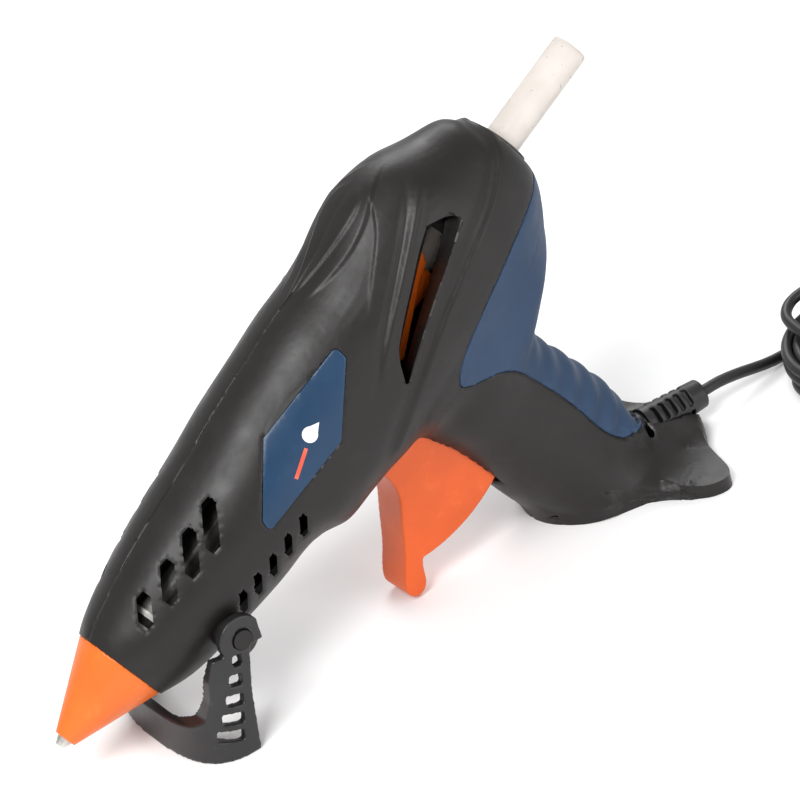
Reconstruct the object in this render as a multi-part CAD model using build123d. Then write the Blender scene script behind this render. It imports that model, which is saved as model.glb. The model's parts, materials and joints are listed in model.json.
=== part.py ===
"""Corded hot-melt glue gun, standing nose-down on its folding front stand and its flared foot.

Two frames are used, both in millimetres.
Gun frame: x runs rearward along the barrel from the nozzle tip, z is square to the barrel, y is sideways.
Row frame: z is up from the bench, and the origin is on the bench under the middle of the foot.
"""

from build123d import *
import math
import os

# ---------------------------------------------------------------- driving dimensions
BARREL_TILT = 29.7  # the barrel's slope when the gun stands on its stand and foot
TIP_HEIGHT = 15.2  # the nozzle tip above the bench
TIP_TO_FOOT = 200.0  # the nozzle tip to the middle of the foot, along the bench
WALL = 3.0  # thickness of the casing's wall
FLOOR = 2.6  # thickness of the foot's floor
SKIN = 1.5  # thickness of the soft grip and of the badge, let into the wall
FIT = 0.06  # radial clearance of a running fit
GAP = 0.5  # clearance between pieces that pass each other

STICK_R = 5.6
STICK_START = 50.0
STICK_LENGTH = 200.0

NOSE = 29.0  # where the casing starts, behind the nozzle sleeve
REAR = 214.0  # where the casing ends
BELLY_FULLNESS = 0.105  # how much squarer than an oval the casing's lower corners are
SIDE_LEAN = 40.0  # the side features are laid out square to a direction this far above level

TRIGGER_X = 129.3
TRIGGER_Z = -19.8
TRIGGER_R = 50.0  # radius of the trigger's curved back
TRIGGER_HALF = 6.6
TRIGGER_PIN_R = 2.5
ARM_LEAN = 11.0  # the fork leans back this far at rest, half of the trigger's travel
DRIVE_Z = 0.0  # level of the carriage's drive pins
DRIVE_R = 1.6
DRIVE_X = TRIGGER_X + (DRIVE_Z - TRIGGER_Z) * math.tan(math.radians(ARM_LEAN))
CARRIAGE_START = 127.0
CARRIAGE_END = 172.0
CARRIAGE_R = 8.5

STAND_X = 52.5 - TIP_TO_FOOT
STAND_Z = 33.9
STAND_PEG_R = 3.0
STAND_WALL = 3.0

GLAND_Z = 8.4
GLAND_START = 12.4  # where the gland's ribbed part leaves the casing
GLAND_END = 35.0
GLAND_R = 6.0
GLAND_TIP_R = 4.7
GLAND_NECK_R = 4.6
CORD_R = 1.8
COIL_X = 288.0 - TIP_TO_FOOT
COIL_Y = -21.0
COIL_INNER = 13.4
COIL_OUTER = 29.0
COIL_HEIGHT = 10.6

gun = Pos(-TIP_TO_FOOT, 0, TIP_HEIGHT) * Rot(0, -BARREL_TILT, 0)
ON_BASE = (Align.CENTER, Align.CENTER, Align.MIN)

# ---------------------------------------------------------------- outlines of the casing
# Along the barrel: station, top, bottom, half width.
BODY = [
    (29, 14.5, -14.6, 14.5),
    (36, 16.8, -17.9, 17.2),
    (44, 18.6, -20.2, 19.2),
    (54, 20.6, -21.3, 20.8),
    (66, 22.2, -22.5, 22.3),
    (80, 23.6, -23.6, 23.5),
    (90, 24.8, -24.2, 24.0),
    (95, 25.6, -25.2, 24.2),
    (100, 26.4, -27.6, 24.3),
    (108, 27.2, -28.4, 24.4),
    (120, 28.2, -29.2, 24.5),
    (134, 29.3, -30.2, 24.7),
    (148, 29.2, -30.8, 24.9),
    (157, 30.8, -31.0, 25.0),
    (166, 33.2, -31.0, 24.9),
    (175, 34.2, -30.0, 24.4),
    (183, 33.2, -28.0, 23.6),
    (190, 30.6, -26.0, 22.4),
    (197, 26.3, -24.0, 20.4),
    (204, 23.0, -21.0, 17.8),
    (210, 19.4, -17.0, 14.8),
    (214, 13.6, -10.5, 10.6),
]
# Down the handle: level, front, back, half width.
HANDLE = [
    (-6, 128.0, 211.4, 18.0),
    (-16, 128.0, 210.6, 19.4),
    (-25, 128.4, 207.4, 20.4),
    (-31, 130.0, 202.8, 20.6),
    (-35, 131.6, 197.4, 20.4),
    (-39, 133.2, 189.4, 20.0),
    (-43, 134.4, 183.4, 19.5),
    (-48, 135.6, 180.2, 19.0),
    (-55, 136.6, 179.9, 18.6),
    (-68, 137.2, 181.6, 18.4),
    (-82, 137.8, 182.9, 18.6),
    (-94, 139.2, 182.4, 19.2),
    (-106, 141.2, 181.6, 20.0),
    (-128, 146.0, 182.0, 20.5),
]
# Seen from above: the foot's half outline, from its front to its tail.
FOOT = [
    (-31.5, 0.0),
    (-29.5, 9.5),
    (-24, 17.0),
    (-14, 21.2),
    (-5, 22.8),
    (2.5, 29.0),
    (8.6, 37.2),
    (14.4, 38.2),
    (19.8, 27.4),
    (23.2, 13.0),
    (24.4, 0.0),
]
FOOT_PLATE = 4.4
FLARE_LOW = [
    (-33, 0.0),
    (-31, 10.0),
    (-25, 17.2),
    (-15, 20.6),
    (-6, 21.3),
    (1.0, 21.0),
    (6.0, 19.0),
    (9.4, 15.0),
    (11.4, 10.0),
    (12.2, 5.0),
    (12.4, 0.0),
]
FLARE_TOP = [
    (-38, 0.0),
    (-36, 7.2),
    (-30, 13.4),
    (-20, 16.4),
    (-11, 16.8),
    (-4, 16.0),
    (1.5, 13.8),
    (5.0, 10.6),
    (6.8, 7.2),
    (7.6, 3.8),
    (7.8, 0.0),
]
# Seen from the side: the soft grip's edge on the casing, closed behind the handle.
GRIP_EDGE = [
    (212.5, -7.0),
    (203.7, -8.0),
    (194.0, -8.0),
    (180.0, -10.0),
    (170.3, -12.0),
    (161.0, -15.2),
    (153.4, -20.6),
    (151.4, -25.4),
    (155.1, -30.4),
    (162.0, -35.0),
    (165.4, -40.6),
    (167.6, -50.2),
    (169.6, -67.0),
    (169.8, -82.0),
    (171.7, -91.6),
    (176.0, -98.0),
    (182.0, -101.0),
    (192.0, -101.0),
]
BADGE_EDGE = [(83.9, -12.7), (116.5, -13.9), (136.0, -1.1), (136.5, 3.2), (103.9, 4.4), (85.0, -9.3)]
WINDOW_EDGE = [
    (179.6, 2.6),
    (187.0, -1.0),
    (187.6, -4.4),
    (174.5, -8.6),
    (160.0, -13.2),
    (147.0, -17.8),
    (139.4, -21.0),
    (145.6, -12.4),
    (153.0, -8.6),
    (165.4, -3.0),
    (173.2, 0.4),
]
# Slanted vents: middle along the barrel, middle up the side, length.
LARGE_VENTS = [(45.0, 2.8, 11.6), (55.5, 2.1, 13.6), (65.8, 1.9, 15.0), (75.4, 2.0, 16.4)]
LARGE_VENT_WIDTH = 4.3
SMALL_VENTS = [(63.9, -18.4), (70.4, -18.8), (77.2, -19.1), (84.3, -19.2), (91.3, -19.4)]


def ellipse_ring(centre_low, centre_high, half):
    """Twelve points round an oval, as pairs: across, then along the pair of limits given."""
    middle = (centre_low + centre_high) / 2
    reach = (centre_high - centre_low) / 2
    turns = [math.radians(30 * step) for step in range(12)]
    return [(half * math.sin(t), middle + reach * math.cos(t)) for t in turns]


def body_solid(inset):
    """The barrel and hump, drawn in by an inset."""
    faces = []
    for station, top, bottom, half in BODY:
        upper, lower, wide = top - inset, bottom + inset, half - inset
        belly = min(max((station - 90) / 12, 0.0), 1.0) * BELLY_FULLNESS
        ring = []
        for step in range(12):
            turn = math.radians(30 * step)
            across, up = math.sin(turn), math.cos(turn)
            fuller = 1 + belly * (4 * across * across * up * up) * (up < 0)
            ring.append((station, wide * across * fuller, (upper if up > 0 else -lower) * up * fuller))
        faces.append(make_face(Spline(*ring, periodic=True)))
    solid = loft(faces)
    return gun * trim_ends(solid, NOSE + inset * (inset > 0), REAR - inset)


def trim_ends(solid, low, high):
    """Keep what lies between two stations along the barrel."""
    block = Pos((low + high) / 2, 0, 0) * Box(high - low, 90, 160)
    return solid & block


def handle_solid(inset):
    """The handle, drawn in by an inset."""
    faces = []
    for level, front, back, half in HANDLE:
        ring = ellipse_ring(front + inset, back - inset, half - inset)
        faces.append(make_face(Spline(*[(along, across, level) for across, along in ring], periodic=True)))
    return gun * loft(faces)


def plan_face(points, level, inset=0.0):
    """A face from half an outline seen from above, mirrored to the other side."""
    half = [(x, max(y - inset, 0.0) if y else 0.0) for x, y in points]
    first, last = half[0], half[-1]
    half[0] = (first[0] + inset, 0.0)
    half[-1] = (last[0] - inset, 0.0)
    near = [(x, -y, level) for x, y in half]
    far = [(x, y, level) for x, y in reversed(half[1:-1])]
    return make_face(Spline(*(near + far), periodic=True))


def foot_solid(inset):
    """The flat foot plate and the flare that runs up into the handle."""
    upper = [plan_face(FLARE_LOW, 9.0, inset), plan_face(FLARE_TOP, 18.0, inset)]
    if inset:
        return loft([plan_face(FLARE_LOW, max(inset, FLOOR), inset + 0.3)] + upper)
    return loft([plan_face(FOOT, 1.4, 0.3)] + upper) + extrude(plan_face(FOOT, 0.0), FOOT_PLATE)


def side_plane(side):
    """The tilted plane on which a side's features are laid out; side is -1 for the left, 1 for the right."""
    lean = math.radians(SIDE_LEAN)
    outward = (0, side * math.cos(lean), math.sin(lean))
    return Plane(origin=(0, 0, 0), x_dir=(1, 0, 0), z_dir=outward)


def side_cutter(points, side, depth_from, depth_to, corner=0.0):
    """A prism through one side of the casing from an outline laid out on its tilted plane."""
    flip = 1 if side < 0 else -1
    face = make_face(Polyline(*[(x, flip * y) for x, y in points], close=True))
    if corner:
        face = fillet(face.vertices(), corner)
    prism = extrude(side_plane(side).offset(depth_from) * face, depth_to - depth_from)
    return gun * prism


def slab(points, y_low, y_high):
    """A plate from an outline seen from the side, in the gun frame, between two y positions."""
    face = make_face(Polyline(*[(x, y_low, z) for x, z in points], close=True))
    return extrude(face, y_high - y_low, dir=(0, 1, 0))


def tube_x(start, end, outer, inner=0.0):
    """A round bar or tube along the barrel."""
    bar = Pos(start, 0, 0) * Rot(0, 90, 0) * Cylinder(outer, end - start, align=ON_BASE)
    if inner:
        bar -= Pos(start - 1, 0, 0) * Rot(0, 90, 0) * Cylinder(inner, end - start + 2, align=ON_BASE)
    return bar


def bar_y(x, z, radius, y_low, y_high):
    """A round bar across the gun."""
    return Pos(x, (y_low + y_high) / 2, z) * Rot(90, 0, 0) * Cylinder(radius, y_high - y_low)


def cone_x(start, end, r_start, r_end):
    """A solid cone along the barrel."""
    return Pos(start, 0, 0) * Rot(0, 90, 0) * Cone(r_start, r_end, end - start, align=ON_BASE)


def box_between(x, y, z):
    """A box between pairs of limits."""
    size = [pair[1] - pair[0] for pair in (x, y, z)]
    middle = [(pair[1] + pair[0]) / 2 for pair in (x, y, z)]
    return Pos(*middle) * Box(*size)


def row_bar_x(start, end, outer, z):
    """A round bar along x in the row frame."""
    return Pos(start, 0, z) * Rot(0, 90, 0) * Cylinder(outer, end - start, align=ON_BASE)


def pipe(points, radii, radius):
    """A round wire or cord along straight runs joined by tangent arcs."""
    path = FilletPolyline(*points, radius=radii)
    start = Plane(origin=path @ 0, z_dir=path % 0)
    return sweep(start * Circle(radius), path=path)


def corner_radii(points):
    """The largest arc that each corner's runs allow: 0.45 of the shorter run over the tangent of half the turn."""
    radii = []
    for before, corner, after in zip(points, points[1:], points[2:]):
        run_in = Vector(*corner) - Vector(*before)
        run_out = Vector(*after) - Vector(*corner)
        half_turn = math.radians(run_in.get_angle(run_out)) / 2
        radii.append(0.45 * min(run_in.length, run_out.length) / math.tan(half_turn))
    return radii


def vent_outline(middle, height, length, width):
    """A slanted vent with pointed ends."""
    slant = math.radians(222)
    along = (math.cos(slant), math.sin(slant))
    square = (-along[1], along[0])
    tip, shoulder, half = length / 2, length / 2 - 0.45 * width, width / 2
    corners = [(tip, 0), (shoulder, half), (-shoulder, half), (-tip, 0), (-shoulder, -half), (shoulder, -half)]
    return [(middle + a * along[0] + b * square[0], height + a * along[1] + b * square[1]) for a, b in corners]


# ---------------------------------------------------------------- casing
SCREWS = [(146.0, 22.0), (188.0, 21.5), (101.0, -18.8), (199.0, -17.5), (163.0, -57.0), (150.5, -91.0)]
POST_R = 3.5
HEAD_POST_R = 4.6
SCREW_R = 1.5
HEAD_R = 2.9
HEAD_Y = 11.0  # the screw heads' seat, towards the right side
SCREW_TIP_Y = -8.5
SLOT_HALF = TRIGGER_HALF + GAP
COLLAR_R = 8.5
GUIDE_R = 8.0
CHAMBER_R = 11.0
SLEEVE_NECK_R = 11.5
PIVOT_BOSS_Y = 11.9


def casing():
    """Both halves of the casing in one piece, before it is parted down the middle, with its grips and badges."""
    bench = Pos(0, 0, 200) * Box(600, 200, 400)
    outer = ((body_solid(0) + handle_solid(0)) & bench) + foot_solid(0)
    inner = ((body_solid(WALL) + handle_solid(WALL)) & (Pos(0, 0, FLOOR) * bench)) + foot_solid(WALL)
    under_skin = body_solid(SKIN) + handle_solid(SKIN) + foot_solid(SKIN)
    skin = outer - under_skin
    grip_edge = Spline(*[(x, -40, z) for x, z in GRIP_EDGE])
    behind = Polyline(grip_edge @ 1, (230, -40, -101), (230, -40, -7), grip_edge @ 0)
    grip_block = gun * extrude(make_face([grip_edge, behind]), 80, dir=(0, 1, 0))
    grips = [largest(half_of(skin & grip_block, side)) for side in (-1, 1)]
    badges = [largest(skin & side_cutter(BADGE_EDGE, side, 10, 40, 1.4)) for side in (-1, 1)]

    cavity = inner - ribs() - posts()
    shell = outer - cavity - grips - badges
    shell -= openings()
    shell += stand_pegs()
    grip_screw = gun * bar_y(*SCREWS[3], HEAD_R + 0.1, HEAD_Y, 40)
    collar_seat = gun * tube_x(REAR - 6, REAR + 2, COLLAR_R)
    grips = [grip - grip_screw - collar_seat for grip in grips]
    return shell, grips, badges


def largest(shape):
    """The biggest solid of a shape, without the slivers that its cuts leave."""
    return max(shape.solids(), key=lambda solid: solid.volume)


SHELF_LEFT = Pos(-65.5, -12, 75) * Box(9, 24, 2)
SHELF_TIP = Pos(-65.5, 2, 75) * Box(9, 4, 2)


def ribs():
    """Cross walls that hold the melt chamber, the inlet sleeve and the stick guide, with a way past for the wires."""
    walls = []
    for start, hole in ((50.0, CHAMBER_R + 0.1), (90.6, CHAMBER_R + 0.1), (110.0, 9.3), (185.0, GUIDE_R + FIT)):
        wall = box_between((start, start + 2), (-30, 30), (-30, 36)) - tube_x(start - 1, start + 3, hole)
        wall -= box_between((start - 1, start + 3), (-20, 20), (-21, -9.5))
        walls.append(gun * wall)
    return walls + [SHELF_LEFT]


def posts():
    """Posts for the casing screws and bosses for the trigger's pin."""
    made = []
    for x, z in SCREWS:
        made.append(gun * bar_y(x, z, POST_R, -40, 0))
        made.append(gun * bar_y(x, z, HEAD_POST_R, 0, 40))
    for low, high in ((-40, -PIVOT_BOSS_Y), (PIVOT_BOSS_Y, 40)):
        made.append(gun * bar_y(TRIGGER_X, TRIGGER_Z, 4.2, low, high))
    return made


def openings():
    """Everything that is cut through the casing."""
    cuts = [gun * tube_x(NOSE - 1, NOSE + 6, SLEEVE_NECK_R + 0.1), gun * tube_x(200, REAR + 2, GUIDE_R + FIT)]
    cuts.append(gun * tube_x(REAR - 3, REAR + 2, COLLAR_R))
    for x, z in SCREWS:
        cuts.append(gun * bar_y(x, z, SCREW_R, SCREW_TIP_Y, HEAD_Y + 0.1))
        cuts.append(gun * bar_y(x, z, HEAD_R + 0.1, HEAD_Y, 40))
    cuts.append(gun * bar_y(TRIGGER_X, TRIGGER_Z, TRIGGER_PIN_R, -15, 15))
    cuts.append(gun * box_between((113, 146), (-SLOT_HALF, SLOT_HALF), (-71.5, -20)))
    for side in (-1, 1):
        for middle, height, length in LARGE_VENTS:
            outline = vent_outline(middle, height, length, LARGE_VENT_WIDTH)
            cuts.append(side_cutter(outline, side, 6, 40))
        for middle, height in SMALL_VENTS:
            cuts.append(side_cutter(vent_outline(middle, height, 6.6, 2.5), side, 6, 40))
        cuts.append(side_cutter(WINDOW_EDGE, side, 4, 45, 0.8))
    cuts.append(row_bar_x(5.4, 40, GLAND_NECK_R, GLAND_Z))
    cuts.append(row_bar_x(GLAND_START, 40, GLAND_R + 0.1, GLAND_Z))
    return cuts


def stand_pegs():
    """The bosses and pegs that the stand's eyes turn on."""
    pegs = []
    for side in (-1, 1):
        boss = sorted((side * 15.5, side * 21.6))
        peg = sorted((side * 20, side * 26.6))
        pegs.append(bar_y(STAND_X, STAND_Z, 5.6, *boss))
        pegs.append(bar_y(STAND_X, STAND_Z, STAND_PEG_R, *peg))
    return pegs


def half_of(shape, side):
    """What lies on one side of the middle plane."""
    return shape & (Pos(0, side * 100, 100) * Box(700, 200, 500))


# ---------------------------------------------------------------- nozzle and heater
def nozzle_sleeve():
    """The heat-proof cone round the nozzle, with a neck and a flange behind the casing's nose."""
    cone = cone_x(2.5, NOSE, 3.3, 14.1)
    neck = tube_x(NOSE, NOSE + 4.4, SLEEVE_NECK_R)
    flange = tube_x(NOSE + 3.4, NOSE + 5.0, 12.6)
    bore = cone_x(0, 14, 1.65, 6.55) + cone_x(14, 22, 6.55, 9.6) + tube_x(22, NOSE + 6, 9.6)
    return cone + neck + flange - bore


def nozzle():
    """The metal nozzle: a cone, a hexagon for a spanner and a thread, bored for the glue and its ball."""
    tip = cone_x(0, 14, 1.5, 6.4)
    nut = tube_x(14, 19, 6.4) + Pos(19, 0, 0) * Rot(0, 90, 0) * extrude(RegularPolygon(7.6, 6), 6)
    thread = tube_x(25, 33, 4.5)
    bore = tube_x(-1, 6, 1.0) + cone_x(5.5, 7.5, 1.0, 2.6) + tube_x(7.5, 34, 2.6)
    return tip + nut + thread - bore


def nozzle_spring():
    """The spring that keeps the ball on its seat."""
    path = Pos(12.0, 0, 0) * Rot(0, 90, 0) * Helix(2.2, 16, 2.0)
    return sweep(Plane(origin=path @ 0, z_dir=path % 0) * Circle(0.3), path=path)


def melt_chamber():
    """The cast chamber that melts the stick, with a pocket under it for the heater."""
    body = tube_x(25, 34, 9.0) + tube_x(34, 93, CHAMBER_R) + tube_x(93, 104, 7.3)
    body += box_between((58, 86), (-7, 7), (-15.4, -8))
    fins = [tube_x(x, x + 1.6, 12.4) for x in (36.0, 40.0, 44.0)]
    bore = tube_x(20, 33, 4.5) + tube_x(32, 41, 3.0) + cone_x(40, 46, 3.0, 5.9) + tube_x(46, 110, 5.9)
    pocket = box_between((56, 90), (-5.6, 5.6), (-14.4, -11.0))
    return body + fins - bore - pocket


# ---------------------------------------------------------------- feed mechanism
CLAMP_X, CLAMP_Z = 152.0, 12.4


def feed_carriage():
    """The sliding tube round the stick, with side ribs, ears for the clamp lever and holes for the drive pins."""
    rib = [(143, -8), (148, -9.2), (168, 3), (173, 5), (174.6, 8.6), (172, 12), (168, 11.2), (165, 7.6), (143, -3)]
    body = tube_x(CARRIAGE_START, CARRIAGE_END, CARRIAGE_R)
    body += slab(rib, -11.4, 11.4)
    for low, high in ((-5.4, -3.0), (3.0, 5.4)):
        body += box_between((148, 156), (low, high), (6.0, 14.6))
    body -= tube_x(CARRIAGE_START - 1, CARRIAGE_END + 6, STICK_R + 0.6)
    body -= box_between((139, 159), (-2.9, 2.9), (3, 20))
    body -= bar_y(CLAMP_X, CLAMP_Z, 1.25, -8, 8)
    body -= bar_y(DRIVE_X, DRIVE_Z, DRIVE_R, -12, 12)
    return body


def clamp_lever():
    """The toothed lever that bites the stick when the carriage moves forward."""
    outline = [(141.0, 6.4), (144.0, 6.4), (150.0, 9.6), (156.0, 10.4), (156.6, 13.6), (152.0, 15.6), (147.0, 13.4)]
    lever = slab(outline, -2.5, 2.5)
    return lever - bar_y(CLAMP_X, CLAMP_Z, 1.25 + FIT, -5, 5)


def trigger():
    """The finger lever and its curved back in one piece with the fork that straddles the stick."""
    start_turn = math.atan2(-64.6 - TRIGGER_Z, 107.0 - TRIGGER_X)
    end_turn = math.atan2(-68.4 - TRIGGER_Z, 141.0 - TRIGGER_X)
    middle_turn = (start_turn + end_turn) / 2
    arc_points = [
        (TRIGGER_X + TRIGGER_R * math.cos(turn), 0, TRIGGER_Z + TRIGGER_R * math.sin(turn))
        for turn in (start_turn, middle_turn, end_turn)
    ]
    front = Spline(
        (117.0, 0, -24.0),
        (118.4, 0, -33.0),
        (116.9, 0, -42.0),
        (111.2, 0, -49.6),
        (103.2, 0, -59.4),
        (97.4, 0, -65.4),
        (95.8, 0, -69.2),
        (97.6, 0, -72.2),
        (100.6, 0, -72.2),
        (103.8, 0, -68.8),
        arc_points[0],
    )
    back = ThreePointArc(*arc_points)
    top = Polyline(arc_points[2], (141, 0, -40), (134.6, 0, -24), (131, 0, -16), (124, 0, -17), (117.0, 0, -24.0))
    blade = Pos(0, -TRIGGER_HALF, 0) * extrude(make_face([front, back, top]), 2 * TRIGGER_HALF, dir=(0, 1, 0))
    hub = bar_y(TRIGGER_X, TRIGGER_Z, 4.2, -11.4, 11.4)
    arm_pin = math.hypot(DRIVE_X - TRIGGER_X, DRIVE_Z - TRIGGER_Z)
    slot_low = (DRIVE_Z - TRIGGER_Z) - DRIVE_R - 0.2
    slot_high = arm_pin + DRIVE_R + 0.2
    arms = []
    for low, high in ((-11.4, -8.9), (8.9, 11.4)):
        arm = box_between((-3.9, 3.9), (low, high), (0, slot_high + 2.4))
        arm -= box_between((-DRIVE_R - 0.2, DRIVE_R + 0.2), (low - 1, high + 1), (slot_low, slot_high))
        arms.append(Pos(TRIGGER_X, 0, TRIGGER_Z) * Rot(0, ARM_LEAN, 0) * arm)
    lever = blade + hub + arms
    lever -= bar_y(TRIGGER_X, TRIGGER_Z, TRIGGER_PIN_R + FIT, -20, 20)
    lug = gun.inverse() * (Pos(-67.5, 0, 63.4) * Box(13, 6.4, 3.2))
    return lever + (lug - bar_y(TRIGGER_X, TRIGGER_Z, TRIGGER_PIN_R + 1.5, -20, 20))


def trigger_spring():
    """The spring that returns the trigger, between the trigger's lug and the casing's shelf, in the row frame."""
    path = Pos(-65.5, 0, 65.4) * Helix(2.0, 8.2, 2.6)
    return sweep(Plane(origin=path @ 0, z_dir=path % 0) * Circle(0.35), path=path)


# ---------------------------------------------------------------- stand
STAND_FOOT_PLAN = [(-141.5, 30.0), (-153.0, 29.6), (-160.0, 29.0), (-166.0, 25.2), (-170.0, 17.0), (-171.5, 0.0)]
STAND_TOP_PLAN = [(-141.5, 25.4), (-150.0, 25.4), (-156.0, 24.6), (-161.0, 21.0), (-165.0, 14.0), (-166.5, 0.0)]
STAND_TOP = 44.0
STAND_SIDE = [
    (-171.8, 0),
    (-152.6, 0),
    (-152.0, 4.0),
    (-149.6, 18.0),
    (-145.8, 31.4),
    (-141.4, 31.4),
    (-141.4, 43),
    (-153.0, 43),
    (-158.6, 30.6),
    (-160.8, 25.4),
    (-162.2, 19.0),
    (-164.6, 13.6),
    (-167.6, 11.4),
    (-171.8, 11.0),
]
LADDER = [(-151.1, 28.8, 3.0), (-153.4, 23.4, 4.2), (-155.5, 17.7, 5.4), (-157.6, 12.4, 6.4), (-159.8, 7.4, 7.4)]
LADDER_HEIGHT = 3.4


def stand_plan(points, level, inset):
    """Half the stand's outline seen from above, mirrored, at one level; its open side is at the back."""
    near = [(x + inset * (x < -165), -(y - inset) if y else 0.0, level) for x, y in points]
    far = [(x, -y, z) for x, y, z in reversed(near[:-1])]
    curve = Spline(*(near + far))
    return make_face([curve, Line(curve @ 1, curve @ 0)])


def stand():
    """The folding front stand: two laddered legs joined by a curved foot bar."""
    outside = loft([stand_plan(STAND_FOOT_PLAN, 0, 0), stand_plan(STAND_TOP_PLAN, STAND_TOP, 0)])
    low_inside = stand_plan(STAND_FOOT_PLAN, -0.01, STAND_WALL)
    inside = loft([low_inside, stand_plan(STAND_TOP_PLAN, STAND_TOP + 0.01, STAND_WALL)])
    side = extrude(make_face(Polyline(*[(x, -50, z) for x, z in STAND_SIDE], close=True)), 100, dir=(0, 1, 0))
    eye_limit = bar_y(STAND_X, STAND_Z, 7.2, -50, 50) + (Pos(-160, 0, 14.5) * Box(60, 100, 34))
    bail = (outside - inside) & side & eye_limit
    for low, high in ((-25.4, -22.2), (22.2, 25.4)):
        bail += bar_y(STAND_X, STAND_Z, 6.2, low, high)
    bail -= bar_y(STAND_X, STAND_Z, STAND_PEG_R + FIT, -50, 50)
    for x, z, length in LADDER:
        bail -= Pos(x, 0, z) * Rot(0, 12, 0) * Box(length, 100, LADDER_HEIGHT)
    return bail


# ---------------------------------------------------------------- cord and plug
TAIL_ROUTE = [
    (71.9, -15.0, 8.2),
    (71.9, -5.0, 13.6),
    (71.9, 8.0, 14.4),
    (94.0, 8.0, 17.5),
    (94.0, -6.0, 17.5),
]
CORD_ROUTE = [
    (-16.0, 0.0, GLAND_Z),
    (16.0, 0.0, GLAND_Z),
    (46.0, 0.6, GLAND_Z - 0.2),
    (68.0, 2.6, 1.9),
    (88.0, 6.2, 1.9),
]
PLUG_X = 94.0
PLUG_Z = 17.5  # the plug lies on the coil
PLUG_START_Y = -6.0
PLUG_LENGTH = 48.0
PLUG_PIN_R = 2.0
PLUG_PIN_SPACING = 18.6
PLUG_PIN_LENGTH = 19.0


def cable_gland():
    """The ribbed strain relief: a flange inside the casing, a neck and a slotted taper."""
    gland = row_bar_x(3.2, 5.4, 5.6, GLAND_Z) + row_bar_x(5.4, GLAND_START, GLAND_NECK_R, GLAND_Z)
    taper = Cone(GLAND_R, GLAND_TIP_R, GLAND_END - GLAND_START, align=ON_BASE)
    gland += Pos(GLAND_START, 0, GLAND_Z) * Rot(0, 90, 0) * taper
    for row in range(5):
        for quarter in range(4):
            x = GLAND_START + 3.6 + 3.1 * row
            slot = Pos(x, 0, GLAND_Z) * Rot(45 + 90 * quarter, 0, 0) * Pos(0, 0, 5.2) * Box(1.5, 5.6, 4.0)
            gland -= slot
    return gland - row_bar_x(0, 40, CORD_R, GLAND_Z)


def plug():
    """The flat two-pin plug's moulded body with its tapered strain relief, lying on the coil."""
    sections = [
        (0, 2.6, 2.6),
        (12, 3.6, 3.6),
        (14, 10.0, 5.2),
        (28, 14.6, 6.8),
        (PLUG_LENGTH - 2, 17.4, 6.8),
        (PLUG_LENGTH, 16.6, 6.2),
    ]
    faces = [Plane(origin=(0, -y, 0), z_dir=(0, -1, 0), x_dir=(1, 0, 0)) * Ellipse(w, h) for y, w, h in sections]
    body = loft(faces[:2]) + loft(faces[1:], ruled=True)
    return Pos(PLUG_X, PLUG_START_Y, PLUG_Z) * body


def plug_pins():
    """The plug's two round pins, set in its face."""
    face_y = PLUG_START_Y - PLUG_LENGTH
    pins = []
    for side in (-1, 1):
        x = PLUG_X + side * PLUG_PIN_SPACING / 2
        pins.append(bar_y(x, PLUG_Z, PLUG_PIN_R, face_y - PLUG_PIN_LENGTH, face_y))
    return pins


# ---------------------------------------------------------------- every node
def wire_route(side):
    """A wire's run from the terminal block up the handle and along the barrel to the heater."""
    apart = 1.4 * side
    return [
        (164.5, 6.0 + apart, -69.9),
        (169.5, 6.2 + apart, -60.0),
        (169.8, 7.2 + apart, -45.0),
        (163.0, 12.0 + apart, -29.0),
        (150.0, 14.2 + apart, -18.6),
        (129.0, 14.3 + apart, -13.2),
        (109.0, 13.0 + apart, -13.0),
        (94.0, 6.4 + 2 * apart, -12.8),
        (88.2, 1.6 * side, -12.7),
    ]


def core_route(side):
    """A core's short run from the end of the cord's sheath up to the terminal block."""
    return [(-16.1, 0.85 * side, 8.4), (-18.2, 1.2 * side, 11.0), (-18.8, 2.2 * side, 17.5), (-19.6, 3.0 * side, 23.9)]


def wire(side):
    """One insulated wire, in the row frame."""
    points = wire_route(side)
    return gun * pipe(points, corner_radii(points), 0.8)


def casing_screws():
    """The screws that join the two halves, put in from the right side."""
    screws = []
    for x, z in SCREWS:
        shank = bar_y(x, z, SCREW_R, SCREW_TIP_Y, HEAD_Y)
        head = bar_y(x, z, HEAD_R, HEAD_Y, HEAD_Y + 2.2)
        screws.append(gun * (shank + head))
    return screws


def annulus(outer, inner, height):
    """A ring lying on the bench at the coil's place."""
    ring = Cylinder(outer, height, align=ON_BASE) - Cylinder(inner, height, align=ON_BASE)
    return Pos(COIL_X, COIL_Y, 0) * ring


def coil_tie():
    """The tie round one side of the coil, on the side away from the gun."""
    middle = (COIL_INNER + COIL_OUTER) / 2
    width = COIL_OUTER - COIL_INNER
    block = Box(width + 1.8, 5.0, COIL_HEIGHT + 0.9, align=ON_BASE)
    coil = annulus(COIL_OUTER, COIL_INNER, COIL_HEIGHT)
    band = block - coil.moved(Location((-COIL_X - middle, -COIL_Y, 0)))
    return Pos(COIL_X, COIL_Y, 0) * Rot(0, 0, 45) * Pos(middle, 0, 0) * band


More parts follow.
